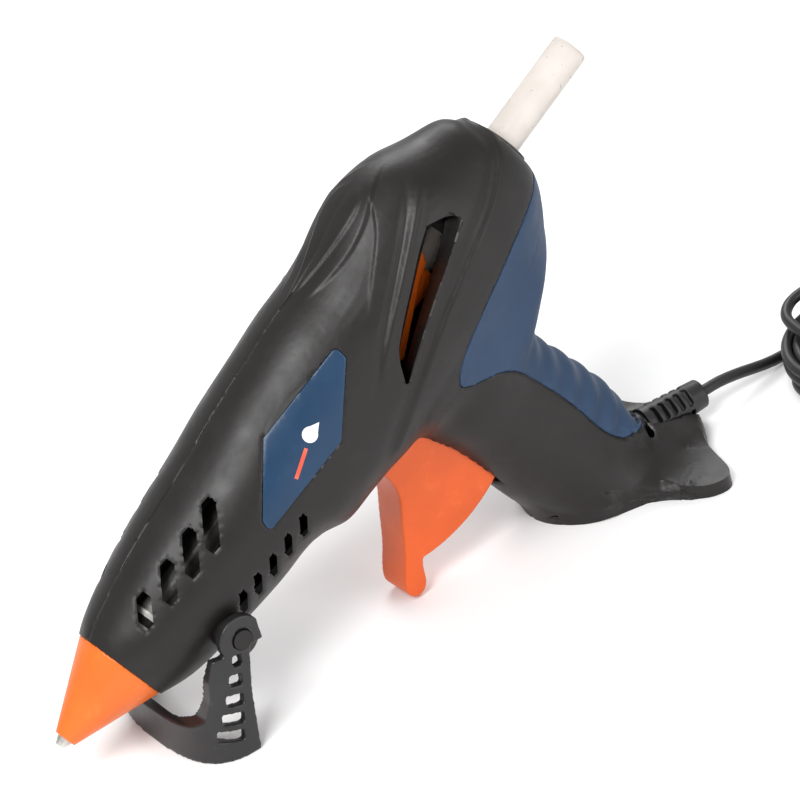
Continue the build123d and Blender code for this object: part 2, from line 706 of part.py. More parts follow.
def build():
    """Every node's name and shape."""
    shell, grips, badges = casing()
    parts = {}
    for index, name, side in ((0, "left", -1), (1, "right", 1)):
        parts[name + "_shell"] = largest(half_of(shell, side))
        parts[name + "_grip"] = largest(grips[index])
        parts[name + "_badge"] = badges[index]
    parts["left_shell"] = parts["left_shell"] + SHELF_TIP
    parts["casing_screws"] = casing_screws()

    parts["nozzle_sleeve"] = gun * nozzle_sleeve()
    parts["nozzle"] = gun * nozzle()
    parts["nozzle_ball"] = gun * Pos(9.2, 0, 0) * Sphere(2.1)
    parts["nozzle_spring"] = gun * nozzle_spring()
    parts["melt_chamber"] = gun * melt_chamber()
    parts["heater_element"] = gun * box_between((61, 83), (-5.0, 5.0), (-13.8, -11.6))
    parts["heater_contacts"] = [
        gun * box_between((60, 88), (-4.6, 4.6), (-14.15, -13.8)),
        gun * box_between((60, 88), (-4.6, 4.6), (-11.6, -11.25)),
    ]
    parts["heater_insulator"] = [
        gun * box_between((57, 89), (-5.5, 5.5), (-14.4, -14.15)),
        gun * box_between((57, 89), (-5.5, 5.5), (-11.25, -11.0)),
    ]
    sleeve = tube_x(93, 115, 9.2, STICK_R + 0.15) - tube_x(92, 104, 7.3)
    parts["inlet_sleeve"] = gun * sleeve
    ear = box_between((95.5, 100.5), (9.9, 13.6), (-2.4, 2.4)) - tube_x(90, 110, 9.2)
    parts["sleeve_clamp"] = gun * (tube_x(95.5, 100.5, 10.4, 9.2) + ear)
    parts["glue_stick"] = gun * tube_x(STICK_START, STICK_START + STICK_LENGTH, STICK_R)
    parts["stick_guide"] = gun * tube_x(183, 211, GUIDE_R, STICK_R + 0.5)
    collar = tube_x(211, 215.5, COLLAR_R, STICK_R + 0.5)
    parts["rear_collar"] = gun * collar

    parts["feed_carriage"] = gun * feed_carriage()
    parts["clamp_lever"] = gun * clamp_lever()
    parts["clamp_pin"] = gun * bar_y(CLAMP_X, CLAMP_Z, 1.25, -5.4, 5.4)
    parts["drive_pins"] = [gun * bar_y(DRIVE_X, DRIVE_Z, DRIVE_R, *sorted((6.4 * s, 12.0 * s))) for s in (-1, 1)]
    parts["trigger"] = gun * trigger()
    parts["trigger_pin"] = gun * bar_y(TRIGGER_X, TRIGGER_Z, TRIGGER_PIN_R, -15, 15)
    parts["trigger_spring"] = trigger_spring()
    parts["stand"] = stand()

    block = box_between((152, 168), (-8.4, 8.4), (-79.5, -70))
    block -= box_between((150, 170), (-0.6, 0.6), (-74, -69))
    parts["terminal_block"] = gun * block
    parts["wire_live"] = wire(1)
    parts["wire_neutral"] = wire(-1)
    parts["cord_cores"] = [pipe(core_route(s), corner_radii(core_route(s)), 0.7) for s in (-1, 1)]
    parts["cord_clamp"] = clamp_block()
    parts["cord_clamp_screws"] = clamp_screws()
    parts["cable_gland"] = cable_gland()
    parts["power_cord"] = pipe(CORD_ROUTE, corner_radii(CORD_ROUTE), CORD_R)
    parts["cord_coil"] = annulus(COIL_OUTER, COIL_INNER, COIL_HEIGHT)
    parts["coil_tie"] = coil_tie()
    parts["cord_tail"] = pipe(TAIL_ROUTE, corner_radii(TAIL_ROUTE), CORD_R)
    parts["plug"] = plug()
    parts["plug_pins"] = plug_pins()
    return parts


def clamp_block():
    """The bridge that holds the cord down inside the foot."""
    block = Pos(-6.5, 0, FLOOR) * Box(7, 15, 9.4, align=ON_BASE)
    block -= row_bar_x(-20, 10, CORD_R, GLAND_Z)
    for y in (-5.0, 5.0):
        block -= Pos(-6.5, y, 8) * Cylinder(1.2, 20)
    return block


def clamp_screws():
    """The two screws of the cord's bridge."""
    screws = []
    for y in (-5.0, 5.0):
        shank = Cylinder(1.2, 9.4, align=ON_BASE)
        head = Pos(0, 0, 9.4) * Cylinder(2.2, 1.6, align=ON_BASE)
        screws.append(Pos(-6.5, y, FLOOR) * (shank + head))
    return screws


def main():
    """Write one STEP file for every node."""
    os.makedirs("parts", exist_ok=True)
    for name, shape in build().items():
        pieces = shape if isinstance(shape, list) else [shape]
        solids = [solid for piece in pieces for solid in piece.solids()]
        node = Compound(label=name, children=solids) if len(solids) > 1 else solids[0]
        node.label = name
        export_step(node, os.path.join("parts", name + ".step"))


main()
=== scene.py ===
"""The looks of the corded glue gun, built round its CAD frame.

Millimetres are used for the gun's own layout and metres for Blender.
Gun coordinates: along the barrel from the nozzle tip, sideways, and up square to the barrel.
"""

import json
import math

import bpy
import numpy as np
from mathutils import Matrix, Vector
from mathutils.bvhtree import BVHTree
from mathutils.geometry import tessellate_polygon
from mathutils.kdtree import KDTree

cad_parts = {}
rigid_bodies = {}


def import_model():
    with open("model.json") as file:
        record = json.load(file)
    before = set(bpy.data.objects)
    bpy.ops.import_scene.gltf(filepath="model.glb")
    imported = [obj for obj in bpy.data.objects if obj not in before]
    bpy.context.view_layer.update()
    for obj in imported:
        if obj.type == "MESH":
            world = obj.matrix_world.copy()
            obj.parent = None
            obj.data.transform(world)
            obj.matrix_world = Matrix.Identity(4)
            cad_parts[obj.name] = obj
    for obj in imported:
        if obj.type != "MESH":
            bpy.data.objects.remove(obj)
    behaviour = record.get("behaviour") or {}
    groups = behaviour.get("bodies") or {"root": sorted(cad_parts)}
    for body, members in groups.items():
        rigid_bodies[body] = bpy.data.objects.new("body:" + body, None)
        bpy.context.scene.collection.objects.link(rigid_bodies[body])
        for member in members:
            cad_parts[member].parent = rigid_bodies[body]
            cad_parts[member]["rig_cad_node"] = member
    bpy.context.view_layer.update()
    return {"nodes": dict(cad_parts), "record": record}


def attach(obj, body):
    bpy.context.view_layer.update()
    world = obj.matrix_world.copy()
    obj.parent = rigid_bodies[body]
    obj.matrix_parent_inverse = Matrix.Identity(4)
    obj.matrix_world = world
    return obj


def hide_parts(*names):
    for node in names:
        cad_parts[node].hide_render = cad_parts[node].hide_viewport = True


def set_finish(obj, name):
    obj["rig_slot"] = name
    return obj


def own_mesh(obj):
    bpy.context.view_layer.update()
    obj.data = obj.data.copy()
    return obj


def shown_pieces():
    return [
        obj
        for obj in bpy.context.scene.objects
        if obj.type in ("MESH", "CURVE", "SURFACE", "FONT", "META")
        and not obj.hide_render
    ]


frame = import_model()
nodes = frame["nodes"]
MM = 0.001

# ---------------------------------------------------------------- camera
CAMERA_TARGET = Vector((-66.0, 0.0, 61.0)) * MM
CAMERA_AWAY = Vector((-0.3935, -0.7631, 0.5137))
CAMERA_UP = Vector((0.4804, 0.378, 0.7926))
CAMERA_DISTANCE = 1.26
CAMERA_LENS = 194.0


def make_camera():
    """A long lens looking down on the gun's left side, with the barrel climbing across the picture."""
    camera = bpy.data.objects.new("camera", bpy.data.cameras.new("camera"))
    bpy.context.scene.collection.objects.link(camera)
    away = CAMERA_AWAY.normalized()
    right = CAMERA_UP.cross(away).normalized()
    up = away.cross(right)
    turn = Matrix((right, up, away)).transposed().to_4x4()
    camera.matrix_world = Matrix.Translation(CAMERA_TARGET + CAMERA_DISTANCE * away) @ turn
    camera.data.lens = CAMERA_LENS
    camera.data.sensor_width = 36.0
    camera.data.clip_start = 0.05
    camera.data.clip_end = 20.0
    bpy.context.scene.camera = camera


# ---------------------------------------------------------------- gun coordinates
BARREL_TILT = math.radians(29.7)
TIP_TO_FOOT = 200.0
TIP_HEIGHT = 15.2
SIDE_LEAN = math.radians(40.0)


def to_gun(points):
    """Row-frame metres to gun millimetres: along, across, up."""
    x = points[:, 0] / MM + TIP_TO_FOOT
    z = points[:, 2] / MM - TIP_HEIGHT
    along = x * math.cos(BARREL_TILT) + z * math.sin(BARREL_TILT)
    up = -x * math.sin(BARREL_TILT) + z * math.cos(BARREL_TILT)
    return np.column_stack([along, points[:, 1] / MM, up])


def from_gun(points):
    """Gun millimetres to row-frame metres."""
    points = np.atleast_2d(np.asarray(points, float))
    x = points[:, 0] * math.cos(BARREL_TILT) - points[:, 2] * math.sin(BARREL_TILT) - TIP_TO_FOOT
    z = points[:, 0] * math.sin(BARREL_TILT) + points[:, 2] * math.cos(BARREL_TILT) + TIP_HEIGHT
    return np.column_stack([x, points[:, 1], z]) * MM


def side_height(gun_points):
    """How high a point lies on its side's tilted layout plane, on which the side features are drawn."""
    return math.cos(SIDE_LEAN) * gun_points[:, 2] - math.sin(SIDE_LEAN) * np.abs(gun_points[:, 1])


# ---------------------------------------------------------------- small maths
def smooth_step(value):
    """0 below 0, 1 above 1, and smooth between."""
    t = np.clip(value, 0.0, 1.0)
    return t * t * (3 - 2 * t)


def distance_to_line(points, line):
    """Signed distance from 2-D points to an open line, positive on its left, and the share of its length."""
    line = np.asarray(line, float)
    starts, steps = line[:-1], np.diff(line, axis=0)
    lengths = np.linalg.norm(steps, axis=1)
    travelled = np.concatenate([[0.0], np.cumsum(lengths)])
    best = np.full(len(points), 1e9)
    sign = np.ones(len(points))
    share = np.zeros(len(points))
    for start, step, length, before in zip(starts, steps, lengths, travelled):
        offset = points - start
        t = np.clip(offset @ step / length**2, 0.0, 1.0)
        gap = np.linalg.norm(offset - t[:, None] * step, axis=1)
        nearer = gap < best
        side = np.sign(step[0] * offset[:, 1] - step[1] * offset[:, 0])
        best[nearer] = gap[nearer]
        sign[nearer] = side[nearer]
        share[nearer] = ((before + t * length) / travelled[-1])[nearer]
    return best * sign, share


def rounded(points, passes=3):
    """An open polyline with its corners cut, so that features drawn along it run smoothly."""
    line = np.asarray(points, float)
    for _ in range(passes):
        near = 0.75 * line[:-1] + 0.25 * line[1:]
        far = 0.25 * line[:-1] + 0.75 * line[1:]
        middle = np.empty((2 * len(near), 2))
        middle[0::2] = near
        middle[1::2] = far
        line = np.vstack([line[:1], middle, line[-1:]])
    return line


def ends_faded(share, fade):
    """1 along a feature's length and 0 at both its ends."""
    return smooth_step(share / fade) * smooth_step((1 - share) / fade)


# ---------------------------------------------------------------- meshes
SHARP_ANGLE = 38.0


def welded(obj):
    """An object's vertices and triangles in metres, with the CAD faces joined along their edges."""
    mesh = obj.data
    mesh.calc_loop_triangles()
    vertices = np.empty(len(mesh.vertices) * 3)
    mesh.vertices.foreach_get("co", vertices)
    vertices = vertices.reshape(-1, 3)
    triangles = np.empty(len(mesh.loop_triangles) * 3, np.int32)
    mesh.loop_triangles.foreach_get("vertices", triangles)
    keys, index = np.unique(np.round(vertices / 1e-7).astype(np.int64), axis=0, return_inverse=True)
    triangles = index.reshape(-1)[triangles].reshape(-1, 3)
    whole = (triangles[:, 0] != triangles[:, 1]) & (triangles[:, 1] != triangles[:, 2])
    whole &= triangles[:, 0] != triangles[:, 2]
    return keys * 1e-7, triangles[whole]


def triangle_normals(vertices, triangles):
    """Each triangle's normal, as long as twice its area."""
    a, b, c = (vertices[triangles[:, k]] for k in range(3))
    return np.cross(b - a, c - a)


def unit(vectors):
    """Vectors made one long."""
    return vectors / np.maximum(np.linalg.norm(vectors, axis=1, keepdims=True), 1e-15)


def seen_from_outside(vertices, triangles, tree):
    """Which triangles see open space in most directions: the outer skin rather than the hollow's walls."""
    normals = unit(triangle_normals(vertices, triangles))
    centres = vertices[triangles].mean(axis=1)
    golden = math.pi * (3 - math.sqrt(5))
    count = 14
    fan = []
    for k in range(count):
        rise = 0.25 + 0.75 * (k + 0.5) / count
        flat = math.sqrt(1 - rise * rise)
        fan.append((flat * math.cos(golden * k), flat * math.sin(golden * k), rise))
    seen = np.zeros(len(triangles), bool)
    for number, (centre, normal) in enumerate(zip(centres, normals)):
        axis = Vector(normal)
        turn = Vector((0, 0, 1)).rotation_difference(axis).to_matrix()
        origin = Vector(centre) + axis * 2e-5
        clear = sum(tree.ray_cast(origin, turn @ Vector(way), 0.3)[0] is None for way in fan)
        seen[number] = clear >= 0.36 * count
    return seen


def longest_edge(middles):
    """How long an edge may be where it lies, in metres: shorter on the finely modelled hump."""
    gun_points = to_gun(middles)
    fine = (gun_points[:, 0] > 128) & (gun_points[:, 2] > -26)
    return np.where(fine, FINE_MESH, PLAIN_MESH) * MM


def refined(vertices, triangles, chosen):
    """Split the long edges of the chosen triangles in half until none is longer than it may be."""
    for _ in range(12):
        corners = triangles[:, [0, 1, 1, 2, 2, 0]].reshape(-1, 2)
        edges, index = np.unique(np.sort(corners, axis=1), axis=0, return_inverse=True)
        index = index.reshape(-1, 3)
        length = np.linalg.norm(vertices[edges[:, 0]] - vertices[edges[:, 1]], axis=1)
        wanted = np.zeros(len(edges), bool)
        wanted[index[chosen].reshape(-1)] = True
        split = wanted & (length > longest_edge(vertices[edges].mean(axis=1)))
        if not split.any():
            break
        middle = np.full(len(edges), -1)
        middle[split] = len(vertices) + np.arange(split.sum())
        vertices = np.vstack([vertices, vertices[edges[split]].mean(axis=1)])
        triangles, chosen = divided(vertices, triangles, chosen, middle[index])
    return vertices, triangles, chosen


def divided(vertices, triangles, chosen, middles):
    """Triangles cut at the new points in the middle of their edges, where there are any."""
    count = (middles >= 0).sum(axis=1)
    made = [triangles[count == 0]]
    flags = [chosen[count == 0]]
    for shift in range(3):
        turned = np.roll(triangles, -shift, axis=1)
        cuts = np.roll(middles, -shift, axis=1)
        one = (count == 1) & (cuts[:, 0] >= 0)
        a, b, c = turned[one].T
        m = cuts[one][:, 0]
        made += [np.column_stack([a, m, c]), np.column_stack([m, b, c])]
        flags += [chosen[one]] * 2
        two = (count == 2) & (cuts[:, 2] < 0)
        a, b, c = turned[two].T
        m, n = cuts[two][:, 0], cuts[two][:, 1]
        across = np.linalg.norm(vertices[a] - vertices[n], axis=1)
        along = np.linalg.norm(vertices[m] - vertices[c], axis=1)
        short = across < along
        made.append(np.column_stack([m, b, n]))
        made.append(np.column_stack([a, m, np.where(short, n, c)]))
        made.append(np.column_stack([np.where(short, a, m), n, c]))
        flags += [chosen[two]] * 3
    three = count == 3
    a, b, c = triangles[three].T
    m, n, o = middles[three].T
    made += [np.column_stack(corner) for corner in ((a, m, o), (b, n, m), (c, o, n), (m, n, o))]
    flags += [chosen[three]] * 4
    return np.vstack(made), np.concatenate(flags)


def shared_edges(triangles):
    """Edges of exactly two triangles: their end points, and the two triangles."""
    corners = triangles[:, [0, 1, 1, 2, 2, 0]].reshape(-1, 2)
    edges, index, count = np.unique(np.sort(corners, axis=1), axis=0, return_inverse=True, return_counts=True)
    order = np.argsort(index.reshape(-1), kind="stable")
    owner = order // 3
    first = np.concatenate([[0], np.cumsum(count)[:-1]])
    pair = count == 2
    return edges[pair], owner[first[pair]], owner[first[pair] + 1]


def relaxed(vertices, triangles, free, rounds):
    """Facets smoothed away without shrinking: free points move to their neighbours' middle, then back out."""
    edges = np.unique(np.sort(triangles[:, [0, 1, 1, 2, 2, 0]].reshape(-1, 2), axis=1), axis=0)
    total = len(vertices)
    degree = np.bincount(edges.ravel(), minlength=total)
    degree = np.maximum(degree, 1)
    moved = vertices.copy()
    for _ in range(rounds):
        for share in (0.5, -0.52):
            mean = np.empty_like(moved)
            for axis in range(3):
                column = moved[:, axis]
                sums = np.bincount(edges[:, 0], column[edges[:, 1]], total)
                sums += np.bincount(edges[:, 1], column[edges[:, 0]], total)
                mean[:, axis] = sums / degree
            moved[free] += share * (mean - moved)[free]
    return moved


def mesh_object(name, vertices, triangles):
    """A new smooth-shaded object with its sharp edges kept."""
    mesh = bpy.data.meshes.new(name)
    mesh.from_pydata(vertices.tolist(), [], triangles.tolist())
    mesh.update()
    mesh.shade_smooth()
    mesh.set_sharp_from_angle(angle=math.radians(SHARP_ANGLE))
    obj = bpy.data.objects.new(name, mesh)
    bpy.context.scene.collection.objects.link(obj)
    return obj


# ---------------------------------------------------------------- the casing's modelled features
# Side features: along the barrel, then height on the side's layout plane.
BAND_EDGE = [
    (214, 10.3),
    (213.4, 4.1),
    (211, -0.1),
    (207.8, -3.1),
    (202.6, -5.8),
    (195.7, -8.7),
    (188, -10.6),
    (177.2, -13.1),
    (166.4, -15.6),
    (155.9, -18.5),
    (145.5, -21.6),
    (137.4, -23.9),
    (129.1, -26.4),
    (118.3, -28.8),
]
UPPER_GROOVE = [(180, 24), (177.3, 21), (171.5, 14.5), (166.3, 10.8), (156.5, 5.4), (148, 0)]
SIDE_CREASE = [
    (190, 18.5),
    (188.2, 16.5),
    (181.4, 10.9),
    (171.3, 5),
    (160.5, 0),
    (144.6, -7.9),
    (126.3, -17.6),
]
WINDOW_RIDGE = [
    (191.5, 12.6),
    (189.9, 11.6),
    (178, 5.6),
    (172.6, 3.3),
    (159, -2.9),
    (147.8, -7.4),
    (134.6, -14.1),
]
# Top features: along the barrel, then distance from the middle plane.
TONGUE_EDGE = [(179.0, 0.0), (177.2, 3.6), (173, 6.6), (166, 6.8), (157, 4.6), (146, 1.6), (136, 0.2)]
LEAF_STEP = 0.7
MIDDLE_EDGE = [(190.0, 0.0), (186, 3.0), (178, 7.4), (170, 10.6), (161, 10.8), (151, 8.4), (140, 5.0)]


def side_features(gun_points):
    """How far the casing stands proud of its plain shape at each point of its sides, in millimetres."""
    drawn = np.column_stack([gun_points[:, 0], side_height(gun_points)])
    upper_body = smooth_step((gun_points[:, 2] + 34) / 6)
    raised = np.zeros(len(drawn))

    gap, share = distance_to_line(drawn, rounded(BAND_EDGE))
    band = 0.9 * smooth_step((gap + 0.6) / 1.5) * np.exp(-np.maximum(gap, 0) / 7.0)
    shadow = -0.4 * np.exp(-(((gap + 1.6) / 1.5) ** 2))
    raised += (band + shadow) * smooth_step((1 - share) / 0.1) * upper_body

    gap, share = distance_to_line(drawn, rounded(UPPER_GROOVE))
    leaf = smooth_step((gap + 0.7) / 1.4) * np.exp(-np.maximum(gap, 0) / 6.0)
    raised += 0.6 * leaf * ends_faded(share, 0.3)

    gap, share = distance_to_line(drawn, rounded(SIDE_CREASE))
    raised -= 0.7 * np.exp(-((gap / 1.3) ** 2)) * ends_faded(share, 0.3)

    gap, share = distance_to_line(drawn, rounded(WINDOW_RIDGE))
    raised += 0.7 * np.exp(-((gap / 1.3) ** 2)) * ends_faded(share, 0.2)
    return raised


def top_features(gun_points):
    """The two stepped leaves on the hump's top, in millimetres."""
    drawn = np.column_stack([gun_points[:, 0], np.abs(gun_points[:, 1])])
    top = smooth_step((gun_points[:, 2] - 12) / 5)
    raised = np.zeros(len(drawn))
    for line in (TONGUE_EDGE, MIDDLE_EDGE):
        gap, share = distance_to_line(drawn, rounded(line))
        leaf = smooth_step((gap + 0.7) / 1.4) * np.exp(-np.maximum(gap, 0) / 7.0)
        raised += LEAF_STEP * leaf * ends_faded(share, 0.3)
    return raised * top


def grip_ripples(gun_points):
    """Shallow waves across the soft grip's back on the handle."""
    along, across, up = gun_points.T
    back = smooth_step((along - 166) / 8) * smooth_step((-up - 34) / 8) * smooth_step((up + 96) / 8)
    lean = up + 0.16 * np.abs(across)
    return 0.42 * back * np.sin(lean * 2 * math.pi / 9.5)


# ---------------------------------------------------------------- fillets where the handle meets its neighbours
class Creases:
    """Points along the skin's sharp inner corners, with the way out of each and how far a fillet fills it."""

    def __init__(self):
        self.points = []
        self.ways = []
        self.fills = []

    def gather(self, vertices, triangles, outside):
        """Add the inner corners between outer faces of one mesh."""
        edges, one, other = shared_edges(triangles)
        normals = unit(triangle_normals(vertices, triangles))
        centres = vertices[triangles].mean(axis=1)
        cosine = np.einsum("ij,ij->i", normals[one], normals[other])
        inward = np.einsum("ij,ij->i", centres[other] - centres[one], normals[one]) > 0
        corner = outside[one] & outside[other] & inward & (cosine < math.cos(math.radians(13)))
        gun_points = to_gun(vertices[edges].mean(axis=1))
        low = (gun_points[:, 2] < -3) & (gun_points[:, 0] > 122)
        for number in np.flatnonzero(corner & low):
            start, end = vertices[edges[number]]
            mean = (normals[one[number]] + normals[other[number]]) / 2
            size = np.linalg.norm(mean)
            steps = max(int(np.linalg.norm(end - start) / (0.8 * MM)), 1)
            for step in range(steps + 1):
                self.points.append(start + (end - start) * step / steps)
                self.ways.append(mean / size)
                self.fills.append(math.sqrt(max(1 - size * size, 0.0)) / 2)

    def fillet(self, vertices, reach):
        """How far each point moves so that the corners are rounded out to a reach."""
        tree = KDTree(len(self.points))
        for number, point in enumerate(self.points):
            tree.insert(point, number)
        tree.balance()
        ways = np.array(self.ways)
        fills = np.array(self.fills)
        move = np.zeros_like(vertices)
        for number, vertex in enumerate(vertices):
            found = tree.find_n(vertex, 6)
            nearest = found[0][2]
            if nearest < reach:
                picked = [index for _, index, _ in found]
                way = ways[picked].mean(axis=0)
                move[number] = way * fills[picked].mean() * reach * (1 - nearest / reach) ** 2
        return move


# ---------------------------------------------------------------- skin pieces
SKIN = {
    "left_shell": "casing",
    "right_shell": "casing",
    "left_grip": "grip",
    "right_grip": "grip",
    "left_badge": "badge",
    "right_badge": "badge",
}
FINE_MESH = 0.75
PLAIN_MESH = 1.25
FILLET_REACH = 9.0
SEAM_GROOVE = 0.3
EDGE_ROUNDING = {"casing": 0.4, "grip": 0.7, "badge": 0.14}


def skin_tree(meshes):
    """A search tree of all skin meshes together."""
    all_vertices, all_triangles, count = [], [], 0
    for vertices, triangles in meshes.values():
        all_vertices.append(vertices)
        all_triangles.append(triangles + count)
        count += len(vertices)
    return BVHTree.FromPolygons(np.vstack(all_vertices).tolist(), np.vstack(all_triangles).tolist())


def outer_normals(vertices, triangles):
    """Point normals from the given triangles alone."""
    faces = triangle_normals(vertices, triangles)
    normals = np.zeros_like(vertices)
    for corner in range(3):
        np.add.at(normals, triangles[:, corner], faces)
    return unit(normals)


def sharp_points(vertices, triangles, outside):
    """Which points lie on the outer skin's borders, and which on a convex edge of it."""
    edges, one, other = shared_edges(triangles)
    border = outside[one] != outside[other]
    found = np.zeros(len(vertices), bool)
    found[edges[border].ravel()] = True
    normals = unit(triangle_normals(vertices, triangles))
    cosine = np.einsum("ij,ij->i", normals[one], normals[other])
    ridge = outside[one] & outside[other] & (cosine < math.cos(math.radians(24)))
    ridges = np.zeros(len(vertices), bool)
    ridges[edges[ridge].ravel()] = True
    return found, ridges


def make_skin():
    """The casing halves, grips and badges with a smooth skin, fillets and modelled features."""
    meshes = {name: welded(nodes[name]) for name in SKIN}
    tree = skin_tree(meshes)
    creases = Creases()
    parts = {}
    for name, (vertices, triangles) in meshes.items():
        outside = seen_from_outside(vertices, triangles, tree)
        creases.gather(vertices, triangles, outside)
        parts[name] = refined(vertices, triangles, outside)

    for name, (vertices, triangles, outside) in parts.items():
        slot = SKIN[name]
        border, ridges = sharp_points(vertices, triangles, outside)
        outer = np.zeros(len(vertices), bool)
        outer[triangles[outside].ravel()] = True
        free = outer & ~border & ~ridges
        seam = np.abs(vertices[:, 1]) < 2e-6
        vertices = relaxed(vertices, triangles[outside], free, 9)
        chosen = np.flatnonzero(outer)
        move = np.zeros_like(vertices)
        move[chosen] = creases.fillet(vertices[chosen], FILLET_REACH * MM)
        normals = outer_normals(vertices, triangles[outside])
        gun_points = to_gun(vertices)
        proud = np.zeros(len(vertices))
        if slot != "badge":
            body = smooth_step((gun_points[:, 0] - 110) / 10)
            proud += (side_features(gun_points) + top_features(gun_points)) * body
        if slot == "grip":
            proud += grip_ripples(gun_points)
        proud -= SEAM_GROOVE * seam * smooth_step((165 - gun_points[:, 0]) / 20)
        proud -= EDGE_ROUNDING[slot] * (border & ~seam)
        move += normals * (proud * MM)[:, None]
        vertices[chosen] += move[chosen]
        vertices[seam, 1] = 0.0
        piece = mesh_object(name + "_skin", vertices, triangles)
        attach(piece, "casing")
        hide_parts(name)
        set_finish(piece, slot)


# ---------------------------------------------------------------- the side window's sloping inner wall
WINDOW_EDGE = [
    (179.6, 2.6),
    (187.0, -1.0),
    (187.6, -4.4),
    (174.5, -8.6),
    (160.0, -13.2),
    (147.0, -17.8),
    (139.4, -21.0),
    (145.6, -12.4),
    (153.0, -8.6),
    (165.4, -3.0),
    (173.2, 0.4),
]
WINDOW_FRONT = [(187.0, 3.8), (139.4, -16.0)]
WALL_DEPTH = 9.0
WALL_THICKNESS = 1.0
WALL_SLOPE = 0.5


def outward_way(side):
    """The way out of a side's layout plane, in gun coordinates."""
    return np.array([0.0, side * math.cos(SIDE_LEAN), math.sin(SIDE_LEAN)])


def on_side(drawn, side, depth):
    """Gun coordinates of points drawn on a side's layout plane, at a depth out from it."""
    up_way = np.array([0.0, -side * math.sin(SIDE_LEAN), math.cos(SIDE_LEAN)])
    drawn = np.asarray(drawn, float)
    along = np.outer(drawn[:, 0], [1.0, 0.0, 0.0])
    out = np.outer(np.broadcast_to(depth, len(drawn)), outward_way(side))
    return along + np.outer(drawn[:, 1], up_way) + out


def depths(drawn, side, tree):
    """How far out the skin lies over points drawn on a side's layout plane."""
    way = from_gun([outward_way(side)])[0] - from_gun([[0.0, 0.0, 0.0]])[0]
    way = Vector(way).normalized()
    found = []
    for point in from_gun(on_side(drawn, side, 60.0)):
        hit = tree.ray_cast(Vector(point), -way, 0.1)
        found.append(60.0 - hit[3] / MM if hit[0] is not None else np.nan)
    found = np.array(found)
    found[np.isnan(found)] = np.nanmedian(found)
    return found


def make_window_wall(side, name, tree):
    """The wall that runs in from the window's edge, with its rear side sloping towards the front."""
    line = np.vstack([rounded(WINDOW_EDGE + WINDOW_EDGE[:1], 2)])[:-1]
    middle = line.mean(axis=0)
    spread_out = line + 1.2 * unit(line - middle)
    top = depths(spread_out, side, tree) - 0.9
    bottom = top - WALL_DEPTH
    front, way = np.array(WINDOW_FRONT[0]), np.array(WINDOW_FRONT[1]) - np.array(WINDOW_FRONT[0])
    square = np.array([way[1], -way[0]]) / np.linalg.norm(way)
    away = (line - front) @ square
    inner = line - WALL_SLOPE * away[:, None] * square
    outer_top = line + WALL_THICKNESS * unit(line - middle)
    outer_bottom = inner + WALL_THICKNESS * unit(inner - inner.mean(axis=0))
    rings = [
        on_side(line, side, top),
        on_side(inner, side, bottom),
        on_side(outer_bottom, side, bottom),
        on_side(outer_top, side, top),
    ]
    count = len(line)
    faces = []
    for ring in range(4):
        for step in range(count):
            a = ring * count + step
            b = ring * count + (step + 1) % count
            c = ((ring + 1) % 4) * count + (step + 1) % count
            d = ((ring + 1) % 4) * count + step
            faces.append((a, b, c, d) if side > 0 else (d, c, b, a))
    wall = mesh_object(name, from_gun(np.vstack(rings)), np.array(faces))
    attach(wall, "casing")
    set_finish(wall, "casing")
    return wall


# ---------------------------------------------------------------- the badges' plain marks
MARK_HEIGHT = 0.14
MARK_DEPTH = 0.3


def droplet(along, up, radius, reach):
    """A drop's outline, falling towards the nozzle."""
    points = []
    for step in range(29):
        turn = math.radians(40 + 280 * step / 28)
        points.append((along + radius * math.cos(turn), up + radius * math.sin(turn)))
    points.append((along + reach, up))
    return points


def bar(along, up, length, width, lean):
    """A slanted bar with square ends."""
    turn = math.radians(lean)
    ways = [(math.cos(turn), math.sin(turn)), (-math.sin(turn), math.cos(turn))]
    made = []
    for a, b in ((-0.5, -0.5), (0.5, -0.5), (0.5, 0.5), (-0.5, 0.5)):
        x = along + a * length * ways[0][0] + b * width * ways[1][0]
        y = up + a * length * ways[0][1] + b * width * ways[1][1]
        made.append((x, y))
    return made


def make_mark(outline, side, name, tree):
    """A thin raised mark on the badge, from an outline drawn on the side's layout plane."""
    flat = [Vector((x, y, 0)) for x, y in outline]
    triangles = np.array(tessellate_polygon([flat]))
    points = np.array([(v.x, v.y, 0.0) for v in flat])
    points, triangles, _ = refined(points * MM, triangles, np.ones(len(triangles), bool))
    points = points / MM
    corners = points[triangles][:, :, :2]
    turn = np.cross(corners[:, 1] - corners[:, 0], corners[:, 2] - corners[:, 0])
    wrong = (turn < 0) == (side < 0)
    triangles[wrong] = triangles[wrong][:, ::-1]
    drawn = points[:, :2]
    level = depths(drawn, side, tree)
    upper = on_side(drawn, side, level + MARK_HEIGHT)
    lower = on_side(drawn, side, level - MARK_DEPTH)
    edges = triangles[:, [0, 1, 1, 2, 2, 0]].reshape(-1, 2)
    known = {tuple(edge) for edge in edges.tolist()}
    rim = [edge for edge in known if (edge[1], edge[0]) not in known]
    count = len(points)
    faces = triangles.tolist() + (triangles[:, ::-1] + count).tolist()
    faces += [(b, a, a + count) for a, b in rim] + [(b, a + count, b + count) for a, b in rim]
    mark = mesh_object(name, from_gun(np.vstack([upper, lower])), np.array(faces))
    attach(mark, "casing")
    return mark


# ---------------------------------------------------------------- softened pieces
SMOOTHING = 0.5


